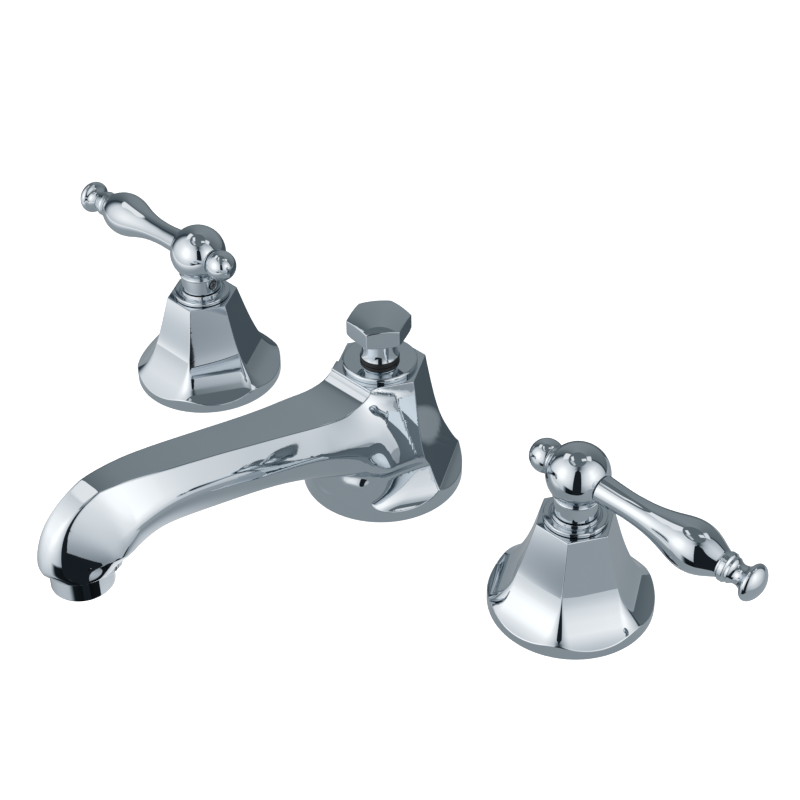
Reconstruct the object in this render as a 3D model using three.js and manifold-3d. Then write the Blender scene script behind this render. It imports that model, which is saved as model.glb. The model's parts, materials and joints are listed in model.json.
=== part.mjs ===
// Widespread basin faucet: a spout with a pop-up lift rod between two lever
// handles, each on its own quarter-turn valve, all on one deck.
//
// Frame: millimetres, +Z up. z = 0 is the top of the deck. The origin is on the
// spout's axis. The spout reaches out along -Y, towards the basin. The hot
// handle stands at -X and the cold handle at +X, and both levers point outwards
// when the valves are shut.
import * as THREE from "three";
import { mergeVertices } from "three/addons/utils/BufferGeometryUtils.js";
import Module from "manifold-3d";

const wasm = await Module();
wasm.setup();

// ---------------------------------------------------------------- dimensions
const CENTRES = 203.2; // between the two handle axes (8 inches)
const HANDLE_Y = -4.2; // the handle axes stand this far in front of the spout's
const GAP = 0.3; // between touching neighbours
const DECK_UNDER = -25; // underside of a 25 mm deck, where the washers bear

// handle escutcheon, a hexagonal bell cut to a round rim
const ESC_RIM_R = 30.5;
const ESC_TOP_Z = 40.1;
const ESC_WALL = 2.2;
// circumradius of the hexagon at each height
const ESC_HORN = [
  [40.1, 14.6],
  [35, 16.1],
  [30, 17.5],
  [25, 19.0],
  [21, 20.4],
  [17.5, 21.7],
  [12.5, 23.9],
  [9, 26.2],
  [7, 28.2],
  [5.3, 31.2],
  [3.7, 35.4],
];
const RING_R = 11.6; // ring that holds the escutcheon down
const RING_Z = [40.4, 42.0];

// handle
const COLLAR_R = 8.0;
const COLLAR_Z = 43.6;
const BALL_Z = 59.7;
const BALL_R = 11.45;
const LEVER_DROOP = 3.4; // degrees below level
const LEVER_BACK = 1.2; // degrees behind square, at the shut stop
const LEVER_PROFILE = [
  // [distance from the ball's centre, radius]
  [10.5, 5.25],
  [13, 5.1],
  [21, 4.75],
  [26, 4.9],
  [30.8, 5.3],
  [34.5, 5.9],
  [38, 6.7],
  [41.5, 7.7],
  [44.9, 8.6],
  [49, 9.05],
  [53, 8.45],
  [56, 7.4],
  [60.4, 5.2],
  [62.4, 5.35],
  [64.2, 4.9],
  [67.2, 3.75],
  [70.2, 4.8],
  [71.8, 6.7],
  [73.4, 6.6],
  [75.2, 4.6],
  [76.7, 0],
];
const FINIAL_R = 6.3;
const FINIAL_X = 14.3; // from the ball's centre, opposite the lever
const SCREW_Z = 47.3;

// spout
const SPOUT_RIM_R = 31.6;
const SPOUT_TOP_Z = 53.5;
const SPOUT_HORN = [
  [53.5, 18.0],
  [46.4, 19.2],
  [36.3, 21.0],
  [29.7, 22.3],
  [22.3, 24.5],
  [16, 27.2],
  [12, 29.2],
  [9, 31.0],
  [6.6, 33.6],
  [4.8, 37.0],
];
const OUTLET_Y = -142;
const OUTLET_Z = 41.4; // lip of the outlet
const AERATOR_R = 11.0;
const AERATOR_Z = 36.9; // bottom of the aerator
// stations along the arm: top point and bottom point in the plane X = 0 as
// [y, z], half-width of the flat top, greatest half-width, roundness (0..1)
const ARM = [
  [[-4, 50.5], [-4, 20], 8.4, 15.0, 0],
  [[-15.3, 52.9], [-15.3, 20], 8.9, 16.0, 0],
  [[-17.2, 51.4], [-17.4, 19], 9.7, 17.0, 0],
  [[-20, 50.1], [-21, 18.5], 10.5, 17.8, 0],
  [[-25, 49.3], [-26, 19.4], 11.2, 18.0, 0],
  [[-33, 50.0], [-34, 22], 11.4, 17.6, 0],
  [[-46, 53.0], [-46, 27], 10.3, 16.4, 0],
  [[-60, 56.6], [-59, 32], 9.4, 15.3, 0],
  [[-76, 61.2], [-74, 36.8], 8.7, 14.4, 0],
  [[-92, 65.6], [-89, 41], 8.1, 13.8, 0.05],
  [[-106, 69.2], [-101, 44], 7.7, 13.6, 0.15],
  [[-119, 72.2], [-110, 45.5], 7.4, 13.9, 0.3],
  [[-131, 73.4], [-117, 45.8], 7.4, 14.4, 0.45],
  [[-142, 71.2], [-121.5, 45.3], 7.4, 14.9, 0.6],
  [[-150.5, 65.2], [-124.5, 44.6], 7.4, 15.2, 0.75],
  [[-155.5, 56.8], [-126.4, 43.8], 7.4, 15.2, 0.9],
  [[-157.2, 48.5], [-127.2, 43.0], 7.4, 15.2, 1],
  [[-156.7, 44.0], [-127.4, 42.4], 7.4, 14.8, 1],
  [[-154.6, 41.4], [-129.4, 41.4], 6.2, 12.6, 1],
];
const DISC_R = 14.4;
const DISC_Z = 55.7;
const BUSH_Z = 57.2; // top of the black guide bush
const KNOB_NECK_R = 7.3;
const KNOB_NECK_Z = 57.6;
const KNOB_HEAD_Z = [67.3, 74.0];
const KNOB_HEX_R = 12.4; // over corners, half
const KNOB_DOME = 1.9;
const KNOB_TURN = 53.4; // degrees: the knob is free to turn on its rod
const ROD_R = 2.4;
const ROD_Z = [-137, 68];

// under the deck
const SHANK_R = 10.3; // half-inch pipe thread
const SPOUT_SHANK_Z = -62;

// ------------------------------------------------------------------ materials
const mat = (name, color, roughness, metalness) =>
  Object.assign(new THREE.MeshStandardMaterial({ color, roughness, metalness }), {
    name,
  });
const CHROME = mat("chrome", 0xc9ced2, 0.06, 1);
const BRASS = mat("brass", 0xb08d4a, 0.35, 1);
const STEEL = mat("steel", 0x9a9da0, 0.3, 1);
const RUBBER = mat("rubber", 0x1c1c1c, 0.85, 0);
const BLACK_PLASTIC = mat("black_plastic", 0x141414, 0.45, 0);
const WHITE_PLASTIC = mat("white_plastic", 0xe6e6e2, 0.45, 0);
const CERAMIC = mat("ceramic", 0xf2f0ea, 0.2, 0);

// ------------------------------------------------------------------- geometry
// A closed geometry as a solid, whichever way its faces were wound.
function solid(geometry) {
  const g = geometry.clone();
  for (const n of Object.keys(g.attributes)) if (n !== "position") g.deleteAttribute(n);
  const m = mergeVertices(g, 1e-4);
  const index = [];
  const a = m.index.array;
  for (let i = 0; i < a.length; i += 3)
    if (a[i] !== a[i + 1] && a[i + 1] !== a[i + 2] && a[i] !== a[i + 2])
      index.push(a[i], a[i + 1], a[i + 2]);
  const make = (tri) =>
    new wasm.Manifold(
      new wasm.Mesh({
        numProp: 3,
        vertProperties: new Float32Array(m.attributes.position.array),
        triVerts: new Uint32Array(tri),
      }),
    );
  const s = make(index);
  if (s.volume() >= 0) return s;
  const turned = [];
  for (let i = 0; i < index.length; i += 3)
    turned.push(index[i], index[i + 2], index[i + 1]);
  return make(turned);
}

function geometryOf(s) {
  const m = s.getMesh();
  const p = new Float32Array(m.numVert * 3);
  for (let i = 0; i < m.numVert; i++)
    p.set(m.vertProperties.subarray(i * m.numProp, i * m.numProp + 3), i * 3);
  const g = new THREE.BufferGeometry();
  g.setAttribute("position", new THREE.BufferAttribute(p, 3));
  g.setIndex(new THREE.BufferAttribute(new Uint32Array(m.triVerts), 1));
  g.computeVertexNormals();
  return g;
}

// Sides of a round piece, for the size of circle that it would be drawn with.
const FACETS = 0.56;
const sides = (n) => Math.max(8, 2 * Math.round((n * FACETS) / 2));

// Turned about Z: profile of [radius, height], closed by the axis or on itself.
function turned(profile, segments = 32, place = new THREE.Matrix4()) {
  const g = new THREE.LatheGeometry(
    profile.map(([r, z]) => new THREE.Vector2(Math.max(r, 0), z)),
    sides(segments),
  );
  g.rotateX(Math.PI / 2);
  g.applyMatrix4(place);
  return solid(g);
}
const ringOf = (r0, r1, z0, z1, segments, place) =>
  turned(
    [
      [r0, z0],
      [r1, z0],
      [r1, z1],
      [r0, z1],
      [r0, z0],
    ],
    segments,
    place,
  );
const rod = (r, z0, z1, segments = 24, place = new THREE.Matrix4()) => {
  const g = new THREE.CylinderGeometry(r, r, z1 - z0, sides(segments));
  g.rotateX(Math.PI / 2);
  g.translate(0, 0, (z0 + z1) / 2);
  g.applyMatrix4(place);
  return solid(g);
};
const move = (x, y, z) => new THREE.Matrix4().makeTranslation(x, y, z);
const alongX = (x = 0, y = 0, z = 0, sign = 1) =>
  move(x, y, z).multiply(new THREE.Matrix4().makeRotationY((sign * Math.PI) / 2));
const alongY = (x = 0, y = 0, z = 0, sign = 1) =>
  move(x, y, z).multiply(new THREE.Matrix4().makeRotationX((-sign * Math.PI) / 2));

// A hexagonal prism, corner at `turn` degrees from +X.
function hexPrism(circumradius, z0, z1, turn = 0) {
  const s = new THREE.Shape();
  for (let i = 0; i < 6; i++) {
    const a = THREE.MathUtils.degToRad(turn + 60 * i);
    const x = circumradius * Math.cos(a);
    const y = circumradius * Math.sin(a);
    if (i) s.lineTo(x, y);
    else s.moveTo(x, y);
  }
  s.closePath();
  const g = new THREE.ExtrudeGeometry(s, { depth: z1 - z0, bevelEnabled: false });
  g.translate(0, 0, z0);
  return solid(g);
}

// A skin over rings of points, each ring in the same order, with flat ends.
function loft(rings) {
  const n = rings[0].length;
  const p = rings.flat(2);
  const index = [];
  for (let r = 0; r + 1 < rings.length; r++)
    for (let i = 0; i < n; i++) {
      const j = (i + 1) % n;
      const a = r * n + i;
      const b = r * n + j;
      const c = a + n;
      const d = b + n;
      index.push(a, b, d, a, d, c);
    }
  for (const [r, flip] of [
    [0, true],
    [rings.length - 1, false],
  ]) {
    const c = p.length / 3;
    for (let k = 0; k < 3; k++) p.push(rings[r].reduce((t, v) => t + v[k], 0) / n);
    for (let i = 0; i < n; i++) {
      const a = r * n + i;
      const b = r * n + ((i + 1) % n);
      index.push(...(flip ? [c, b, a] : [c, a, b]));
    }
  }
  const g = new THREE.BufferGeometry();
  g.setAttribute("position", new THREE.BufferAttribute(new Float32Array(p), 3));
  g.setIndex(index);
  return solid(g);
}

// Hexagonal horn: [height, circumradius] from the top down, straight below.
function horn(table, z0) {
  const rows = [...table, [z0, table[table.length - 1][1]]].reverse();
  return loft(
    rows.map(([z, r]) =>
      [0, 1, 2, 3, 4, 5].map((i) => {
        const a = (Math.PI / 3) * i;
        return [r * Math.cos(a), r * Math.sin(a), z];
      }),
    ),
  );
}
const bell = (table, rim) =>
  horn(table, 0).intersect(
    turned(
      [
        [0, 0],
        [rim - 0.5, 0],
        [rim, 0.6],
        [rim, table[0][0] + 1],
        [0, table[0][0] + 1],
      ],
      48,
    ),
  );

// A hexagon nut with a round hole.
const nut = (acrossFlats, hole, z0, z1, turn = 0) =>
  hexPrism(acrossFlats / Math.sqrt(3), z0, z1, turn).subtract(
    rod(hole, z0 - 1, z1 + 1, 24),
  );

// ---------------------------------------------------------------------- parts
const faucet = new THREE.Group();
faucet.name = "widespread_faucet";
function add(group, name, s, material, position = [0, 0, 0]) {
  const mesh = new THREE.Mesh(geometryOf(s), material);
  mesh.name = name;
  mesh.position.set(...position);
  group.add(mesh);
  return mesh;
}

// ---- spout
const spout = new THREE.Group();
faucet.add(spout);

// Section of the arm between its bottom point and its top point.
const FLAT = [
  [1, 1, "t"],
  [1, 0.64, "m"],
  [0.985, 0.45, "m"],
  [0.84, 0.2, "m"],
  [0.5, 0.035, "m"],
];
const ROUND = [
  [0.52, 0.935],
  [0.95, 0.66],
  [0.99, 0.42],
  [0.74, 0.163],
  [0.32, 0.026],
];
function armRing([top, bottom, wt, wm, round]) {
  const half = FLAT.map(([u, v, kind], i) => {
    const x = (kind === "t" ? wt : wm) * u;
    const [ru, rv] = ROUND[i];
    return [x + (ru * wm - x) * round, v + (rv - v) * round];
  });
  const both = [...half, ...half.map(([x, v]) => [-x, v]).reverse()];
  return both.map(([x, v]) => [
    x,
    bottom[0] + (top[0] - bottom[0]) * v,
    bottom[1] + (top[1] - bottom[1]) * v,
  ]);
}
const channelPath = new THREE.CatmullRomCurve3(
  [
    [0, -2, 35],
    [0, -24, 36],
    [0, -50, 41.5],
    [0, -80, 50],
    [0, -108, 57.5],
    [0, -124, 60],
    [0, -135.5, 58],
    [0, -141, 52],
    [0, OUTLET_Y, 45],
  ].map((p) => new THREE.Vector3(...p)),
);
const channelShape = new THREE.Shape();
channelShape.absarc(0, 0, 6.6, 0, 2 * Math.PI);
const channel = solid(
  new THREE.ExtrudeGeometry(channelShape, {
    steps: 16,
    curveSegments: 5,
    bevelEnabled: false,
    extrudePath: channelPath,
  }),
);
const chamber = turned(
  [
    [0, -1],
    [27.2, -1],
    [27.2, 1.6],
    [24, 3.2],
    [12.4, 7],
    [12.4, 41],
    [9, 44.5],
    [0, 44.5],
  ],
  32,
);
const spoutBody = bell(SPOUT_HORN, SPOUT_RIM_R)
  .add(loft(ARM.map(armRing)))
  .subtract(chamber)
  .subtract(channel)
  .subtract(rod(6.3, 40, 60, 24))
  .subtract(rod(9.7, OUTLET_Z - 1, 48.5, 24, move(0, OUTLET_Y, 0)));
add(spout, "spout_body", spoutBody, CHROME);

// cap disc with its spigot, and the bush that guides the lift rod
add(
  spout,
  "spout_top_disc",
  turned(
    [
      [4.5, 45],
      [6.0, 45],
      [6.0, SPOUT_TOP_Z + GAP],
      [DISC_R, SPOUT_TOP_Z + GAP],
      [DISC_R, DISC_Z - 0.7],
      [DISC_R - 0.7, DISC_Z],
      [4.5, DISC_Z],
      [4.5, 45],
    ],
    40,
  ),
  CHROME,
);
add(
  spout,
  "lift_rod_bush",
  turned(
    [
      [2.75, 46],
      [4.2, 46],
      [4.2, DISC_Z + GAP],
      [6.9, DISC_Z + GAP],
      [6.9, BUSH_Z],
      [2.75, BUSH_Z],
      [2.75, 46],
    ],
    24,
  ),
  BLACK_PLASTIC,
);

// water way below the body: shank, inner tube that keeps the rod dry, tee
add(
  spout,
  "spout_shank",
  turned(
    [
      [8, SPOUT_SHANK_Z],
      [SHANK_R, SPOUT_SHANK_Z],
      [SHANK_R, 9],
      [12.0, 9],
      [12.0, 30],
      [8, 30],
      [8, SPOUT_SHANK_Z],
    ],
    28,
  ),
  BRASS,
);
add(spout, "rod_guide_tube", ringOf(3.2, 4.2, -78, 44.4, 20), BRASS);
const tee = turned(
  [
    [0, -74],
    [13, -74],
    [14, -73],
    [14, -48],
    [0, -48],
  ],
  28,
)
  .add(rod(8.2, -34, 34, 24, alongX(0, 0, -64)))
  .subtract(rod(4.5, -80, -40, 20))
  .subtract(rod(SHANK_R + GAP, SPOUT_SHANK_Z - 1.8, -40, 28))
  .subtract(rod(5.2, -40, -6, 20, alongX(0, 0, -64)))
  .subtract(rod(5.2, 6, 40, 20, alongX(0, 0, -64)))
  .subtract(rod(9, -70, -62, 24));
add(spout, "spout_tee", tee, BRASS);
add(spout, "spout_tee_seal", ringOf(7.9, 10.2, SPOUT_SHANK_Z - 1.5, SPOUT_SHANK_Z - GAP, 24), RUBBER);
add(
  spout,
  "guide_tube_nut",
  nut(14, 4.5, -77.6, -74.3),
  BRASS,
);

// fixings to the deck
add(spout, "spout_base_gasket", ringOf(20, 26.9, 0, 1.3, 32), RUBBER);
add(spout, "spout_rubber_washer", ringOf(SHANK_R + GAP, 19, DECK_UNDER - 2.5, DECK_UNDER, 28), RUBBER);
add(spout, "spout_steel_washer", ringOf(SHANK_R + GAP, 20, DECK_UNDER - 4.6, DECK_UNDER - 2.8, 28), STEEL);
add(spout, "spout_mounting_nut", nut(30, SHANK_R + GAP, DECK_UNDER - 12.9, DECK_UNDER - 4.9), BRASS);

// aerator
add(
  spout,
  "aerator_housing",
  turned(
    [
      [8.0, AERATOR_Z],
      [AERATOR_R - 0.5, AERATOR_Z],
      [AERATOR_R, AERATOR_Z + 0.5],
      [AERATOR_R, OUTLET_Z - GAP],
      [9.4, OUTLET_Z - GAP],
      [9.4, 46.2],
      [8.5, 46.2],
      [8.5, 38.2],
      [8.0, 38.2],
      [8.0, AERATOR_Z],
    ],
    32,
    move(0, OUTLET_Y, 0),
  ),
  CHROME,
);
// flow insert: a cup with round openings through its floor
let insert = turned(
  [
    [0, 38.5],
    [8.2, 38.5],
    [8.2, 46.0],
    [7.2, 46.0],
    [7.2, 40.3],
    [0, 40.3],
  ],
  24,
  move(0, OUTLET_Y, 0),
);
for (let i = 0; i < 6; i++) {
  const a = (Math.PI / 3) * i;
  insert = insert.subtract(
    rod(1.3, 38, 41, 10, move(4.6 * Math.cos(a), OUTLET_Y + 4.6 * Math.sin(a), 0)),
  );
}
add(spout, "aerator_insert", insert, WHITE_PLASTIC);
add(spout, "aerator_washer", ringOf(6.4, 9.4, 46.5, 48.2, 24, move(0, OUTLET_Y, 0)), RUBBER);

// lift knob and rod: they slide up and down together
const knobHead = hexPrism(KNOB_HEX_R, KNOB_HEAD_Z[0], KNOB_HEAD_Z[1] + KNOB_DOME + 1, KNOB_TURN)
  // low dome and the round-off under the head
  .intersect(
    turned(
      [
        [0, KNOB_HEAD_Z[0]],
        [11.1, KNOB_HEAD_Z[0]],
        [12.6, KNOB_HEAD_Z[0] + 1.2],
        [12.6, KNOB_HEAD_Z[1] - 0.2],
        [10.7, KNOB_HEAD_Z[1] + 0.35],
        [8, KNOB_HEAD_Z[1] + 1.05],
        [4, KNOB_HEAD_Z[1] + KNOB_DOME * 0.9],
        [0, KNOB_HEAD_Z[1] + KNOB_DOME],
      ],
      36,
    ),
  );
const knob = knobHead
  .add(
    turned(
      [
        [0, KNOB_NECK_Z],
        [KNOB_NECK_R - 0.4, KNOB_NECK_Z],
        [KNOB_NECK_R, KNOB_NECK_Z + 0.4],
        [KNOB_NECK_R, 66.2],
        [8.4, 67.6],
        [0, 67.6],
      ],
      32,
    ),
  )
  .subtract(rod(ROD_R + GAP, KNOB_NECK_Z - 1, ROD_Z[1] + GAP, 20));
add(spout, "lift_knob", knob, CHROME);
add(
  spout,
  "lift_rod",
  turned(
    [
      [0, ROD_Z[0]],
      [ROD_R - 0.6, ROD_Z[0]],
      [ROD_R, ROD_Z[0] + 0.8],
      [ROD_R, ROD_Z[1]],
      [0, ROD_Z[1]],
    ],
    16,
  ),
  STEEL,
);

// ---- handles: the same set of pieces on each side, mirrored left to right
function handleSet(prefix, side) {
  // side -1: hot, lever towards -X. side +1: cold, lever towards +X.
  const g = new THREE.Group();
  g.position.set((side * CENTRES) / 2, HANDLE_Y, 0);
  faucet.add(g);
  const put = (name, s, material) => add(g, prefix + name, s, material);

  // escutcheon, a hollow casting open below
  const hollow = turned(
    [
      [0, -1],
      [ESC_RIM_R - 3.4, -1],
      [ESC_RIM_R - 3.4, 1.4],
      [23.2, 4.4],
      [20.0, 8.5],
      [17.6, 14],
      [14.4, 25],
      [11.4, ESC_TOP_Z - 3.2],
      [0, ESC_TOP_Z - 3.2],
    ],
    32,
  );
  put(
    "escutcheon",
    bell(ESC_HORN, ESC_RIM_R)
      .subtract(hollow)
      .subtract(rod(8.2, 30, 50, 28)),
    CHROME,
  );
  // ring with a threaded skirt: screws onto the cartridge and clamps the bell
  put(
    "escutcheon_ring",
    turned(
      [
        [6.6, RING_Z[0]],
        [RING_R, RING_Z[0]],
        [RING_R, RING_Z[1] - 0.7],
        [RING_R - 0.7, RING_Z[1]],
        [9.4, RING_Z[1]],
        [9.0, RING_Z[1] - 0.4],
        [6.6, RING_Z[1] - 0.4],
        [6.6, RING_Z[0]],
      ],
      36,
    ).add(
      turned(
        [
          [6.6, 33.5],
          [7.9, 33.5],
          [7.9, RING_Z[0] + 0.3],
          [6.6, RING_Z[0] + 0.3],
          [6.6, 33.5],
        ],
        36,
      ),
    ),
    CHROME,
  );

  // hub: ball, bead and collar in one piece
  const ball = [];
  for (let i = 0; i <= 10; i++) {
    const a = THREE.MathUtils.degToRad(-45 + (135 * i) / 10);
    ball.push([i === 10 ? 0 : BALL_R * Math.cos(a), BALL_Z + BALL_R * Math.sin(a)]);
  }
  const hub = turned(
    [
      [0, COLLAR_Z],
      [COLLAR_R - 0.4, COLLAR_Z],
      [COLLAR_R, COLLAR_Z + 0.4],
      [COLLAR_R, 49.8],
      [COLLAR_R + 0.5, 50.2],
      [COLLAR_R + 0.5, 50.9],
      [COLLAR_R - 0.1, 51.3],
      ...ball,
    ],
    36,
  )
    // spline socket for the stem, lever hole, finial hole, screw hole
    .subtract(rod(4.0 + GAP, COLLAR_Z - 1, 55.3, 20))
    .subtract(rod(3.4, 5.0, 20, 18, alongX(0, 0, BALL_Z, side)))
    .subtract(rod(6.2, 10.15, 20, 28, alongX(0, 0, BALL_Z, side)))
    .subtract(rod(2.3, 4.8, 20, 16, alongX(0, 0, BALL_Z, -side)))
    .subtract(rod(6.2, 10.1, 20, 28, alongX(0, 0, BALL_Z, -side)))
    .subtract(rod(2.0, 3, 20, 14, alongX(0, 0, SCREW_Z, -side)));
  put("handle_hub", hub, CHROME);

  // lever, turned along its own axis, with the tang that enters the ball
  const tilt = new THREE.Matrix4()
    .makeRotationZ(THREE.MathUtils.degToRad(side * LEVER_BACK))
    .multiply(
      new THREE.Matrix4().makeRotationY(
        side * THREE.MathUtils.degToRad(90 + LEVER_DROOP),
      ),
    );
  const leverPlace = move(0, 0, BALL_Z).multiply(tilt);
  put(
    "lever",
    turned(
      [
        [0, 6.2],
        [2.2, 6.2],
        [2.2, LEVER_PROFILE[0][0] + 0.4],
        [LEVER_PROFILE[0][1], LEVER_PROFILE[0][0] + 0.4],
        ...LEVER_PROFILE.slice(1).map(([s, r]) => [r, s]),
      ],
      24,
      leverPlace,
    ),
    CHROME,
  );

  // finial opposite the lever, with its bead and threaded stud
  const finial = [];
  for (let i = 0; i <= 8; i++) {
    const a = THREE.MathUtils.degToRad(-28 + (118 * i) / 8);
    finial.push([i === 8 ? 0 : FINIAL_R * Math.cos(a), FINIAL_X + FINIAL_R * Math.sin(a)]);
  }
  put(
    "finial",
    turned(
      [
        [0, 5.3],
        [1.9, 5.3],
        [1.9, 10.4],
        [4.6, 10.4],
        [4.9, 9.7 + 1.2],
        ...finial.filter(([r, z]) => z > 11.1),
      ],
      24,
      alongX(0, 0, BALL_Z, -side),
    ),
    CHROME,
  );

  // grub screw with a hexagon socket
  put(
    "set_screw",
    rod(1.7, 4.5, 7.9, 14, alongX(0, 0, SCREW_Z, -side)).subtract(
      (() => {
        const s = new THREE.Shape();
        for (let i = 0; i < 6; i++)
          s[i ? "lineTo" : "moveTo"](Math.cos((Math.PI / 3) * i), Math.sin((Math.PI / 3) * i));
        s.closePath();
        const e = new THREE.ExtrudeGeometry(s, { depth: 4, bevelEnabled: false });
        e.translate(0, 0, 6.3);
        e.applyMatrix4(alongX(0, 0, SCREW_Z, -side));
        return solid(e);
      })(),
    ),
    STEEL,
  );

  // stem: turns with the handle, and drives the moving ceramic disc
  put(
    "valve_stem",
    rod(4.0, 22.5, 55, 20)
      .add(rod(6.2, 18.5, 22.5, 24))
      .subtract(rod(2.5, 53, 56, 12))
      .subtract(solid(new THREE.BoxGeometry(4.6, 14, 2.2).translate(0, 0, 18.6))),
    BRASS,
  );
  put(
    "ceramic_disc_moving",
    rod(6.4, 15.6, 18.2, 24)
      .add(solid(new THREE.BoxGeometry(3.9, 8, 1.6).translate(0, 0, 18.6)))
      .subtract(solid(new THREE.BoxGeometry(16, 5, 4).translate(0, 7.2, 16)))
      ,
    CERAMIC,
  );
  put(
    "ceramic_disc_fixed",
    rod(6.9, 12.7, 15.3, 24)
      .subtract(rod(1.9, 12, 16, 12, move(0, 3.8, 0)))
      .subtract(rod(1.9, 12, 16, 12, move(0, -3.8, 0))),
    CERAMIC,
  );
  put("valve_seat_seal", ringOf(4.6, 6.9, 10.4, 12.4, 20), RUBBER);

  // cartridge shell: threaded into the body below, and for the ring above
  put(
    "cartridge_shell",
    turned(
      [
        [7.2, 10.2],
        [8.5, 10.2],
        [8.5, 22],
        [10.2, 22],
        [10.2, 27],
        [7.6, 27],
        [7.6, 30],
        [6.3, 30],
        [6.3, 38.8],
        [4.4, 38.8],
        [4.4, 24.5],
        [7.2, 24.5],
        [7.2, 10.2],
      ],
      28,
    ),
    BRASS,
  );
  put("stem_o_ring", ringOf(4.15, 6.3, 22.9, 24.3, 20), RUBBER);

  // valve body: head over the deck, threaded shank through it, side outlet
  // towards the spout, inlet below
  const outletZ = -48;
  const body = turned(
    [
      [0, -78],
      [SHANK_R, -78],
      [SHANK_R, -58],
      [13, -56],
      [13, -40],
      [SHANK_R, -38],
      [SHANK_R, 8],
      [11.2, 8],
      [11.2, 21.4],
      [0, 21.4],
    ],
    28,
  )
    .add(rod(8.0, 0, 30, 24, alongX(0, 0, outletZ, -side)))
    .subtract(rod(8.8, 10, 30, 28))
    .subtract(rod(6.2, -36, 12, 24))
    .subtract(rod(5.4, -43.5, -30, 20))
    .subtract(rod(7.5, -80, -52.5, 24))
    .subtract(rod(3.0, -60, -40, 16))
    .subtract(rod(5.2, 7, 34, 20, alongX(0, 0, outletZ, -side)))
    .subtract(rod(2.6, 4, 12, 14, alongX(0, 0, outletZ, -side)));
  put("valve_body", body, BRASS);

  // fixings: a nut and plate over the deck, washers and a nut under it
  put("upper_lock_nut", nut(27, SHANK_R + GAP, 1.9, 6.4), BRASS);
  put("deck_plate_washer", ringOf(SHANK_R + GAP, 19, 0, 1.6, 28), STEEL);
  put("rubber_washer", ringOf(SHANK_R + GAP, 17, DECK_UNDER - 2.5, DECK_UNDER, 28), RUBBER);
  put("steel_washer", ringOf(SHANK_R + GAP, 18, DECK_UNDER - 4.6, DECK_UNDER - 2.8, 28), STEEL);
  put("mounting_nut", nut(27, SHANK_R + GAP, DECK_UNDER - 11.9, DECK_UNDER - 4.9), BRASS);
}
handleSet("hot_", -1);
handleSet("cold_", 1);

export default faucet;
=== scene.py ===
import math

import bpy
import numpy as np
from mathutils import Matrix, Vector
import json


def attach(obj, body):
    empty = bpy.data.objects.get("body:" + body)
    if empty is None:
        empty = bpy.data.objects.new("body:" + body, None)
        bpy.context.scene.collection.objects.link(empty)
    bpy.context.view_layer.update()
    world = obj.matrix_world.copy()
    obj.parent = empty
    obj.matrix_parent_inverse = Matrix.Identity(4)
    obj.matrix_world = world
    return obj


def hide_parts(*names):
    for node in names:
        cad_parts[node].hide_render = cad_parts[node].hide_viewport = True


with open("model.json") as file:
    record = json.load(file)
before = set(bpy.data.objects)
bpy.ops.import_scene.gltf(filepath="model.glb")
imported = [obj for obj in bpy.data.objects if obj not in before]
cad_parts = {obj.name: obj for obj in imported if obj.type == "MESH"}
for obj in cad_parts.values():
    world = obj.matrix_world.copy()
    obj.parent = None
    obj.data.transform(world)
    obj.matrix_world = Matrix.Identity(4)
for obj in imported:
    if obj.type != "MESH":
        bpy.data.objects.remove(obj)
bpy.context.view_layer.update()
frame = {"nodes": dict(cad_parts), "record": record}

# ---------------------------------------------------------------- dimensions
# All shapes below are in millimetres and become metres in put().
X = 101.6  # handle axes left and right of the spout's axis
HY = -4.2  # and in front of it
ESC_TOP, ESC_RIM = 40.1, 30.5
ESC_HORN = [
    (40.1, 14.6), (35, 16.1), (30, 17.5), (25, 19.0), (21, 20.4), (17.5, 21.85),
    (12.5, 24.8), (9, 27.7), (7, 30.0), (5.65, 31.9), (5.0, 32.9), (3.7, 35.2),
]
BALL_Z, BALL_R = 59.7, 11.45
DROOP, BACK = 3.4, 1.2
SPOUT_TOP, SPOUT_RIM = 53.5, 31.6
SPOUT_HORN = [
    (53.5, 18.0), (46.4, 19.2), (36.3, 21.0), (29.7, 22.3), (22.3, 24.5),
    (16, 27.2), (12, 29.2), (9, 31.0), (6.6, 33.6), (4.8, 37.0),
]
OUT_Y, OUT_Z = -142.0, 45.5


# ------------------------------------------------------------------- numerics
def spline(x, y, smooth=0.0, n=1500, knots=None):
    """Dense table (x, y) of a smoothing cubic through the points."""
    x, y = np.array(x, float), np.array(y, float)
    if x[0] > x[-1]:
        x, y = x[::-1], y[::-1]
    k = knots or max(6, len(x))
    t = np.linspace(x[0], x[-1], k)
    h = t[1] - t[0]

    def basis(u):
        s = (np.asarray(u)[:, None] - t[0]) / h - np.arange(-1, k + 1)[None, :]
        a = np.abs(s)
        return np.where(a < 1, (4 - 6 * a**2 + 3 * a**3) / 6, np.where(a < 2, (2 - a) ** 3 / 6, 0))

    m = basis(x)
    d = np.diff(np.eye(k + 2), 3, axis=0)
    lam = smooth + 1e-7
    c = np.linalg.solve(m.T @ m + lam * d.T @ d + 1e-10 * np.eye(k + 2), m.T @ y)
    u = np.linspace(x[0], x[-1], n)
    return u, basis(u) @ c


def lookup(table, v):
    """The table's value, continued in a straight line past its ends."""
    u, y = table
    out = np.interp(v, u, y)
    lo, hi = (y[1] - y[0]) / (u[1] - u[0]), (y[-1] - y[-2]) / (u[-1] - u[-2])
    out = np.where(v < u[0], y[0] + (v - u[0]) * lo, out)
    return np.where(v > u[-1], y[-1] + (v - u[-1]) * hi, out)


def smax(a, b, k):
    return np.maximum(a, b) + np.maximum(k - np.abs(a - b), 0) ** 2 / (4 * k)


def smin(a, b, k):
    return np.minimum(a, b) - np.maximum(k - np.abs(a - b), 0) ** 2 / (4 * k)


def step(a, b, v):
    t = np.clip((v - a) / (b - a), 0, 1)
    return t * t * (3 - 2 * t)


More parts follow.
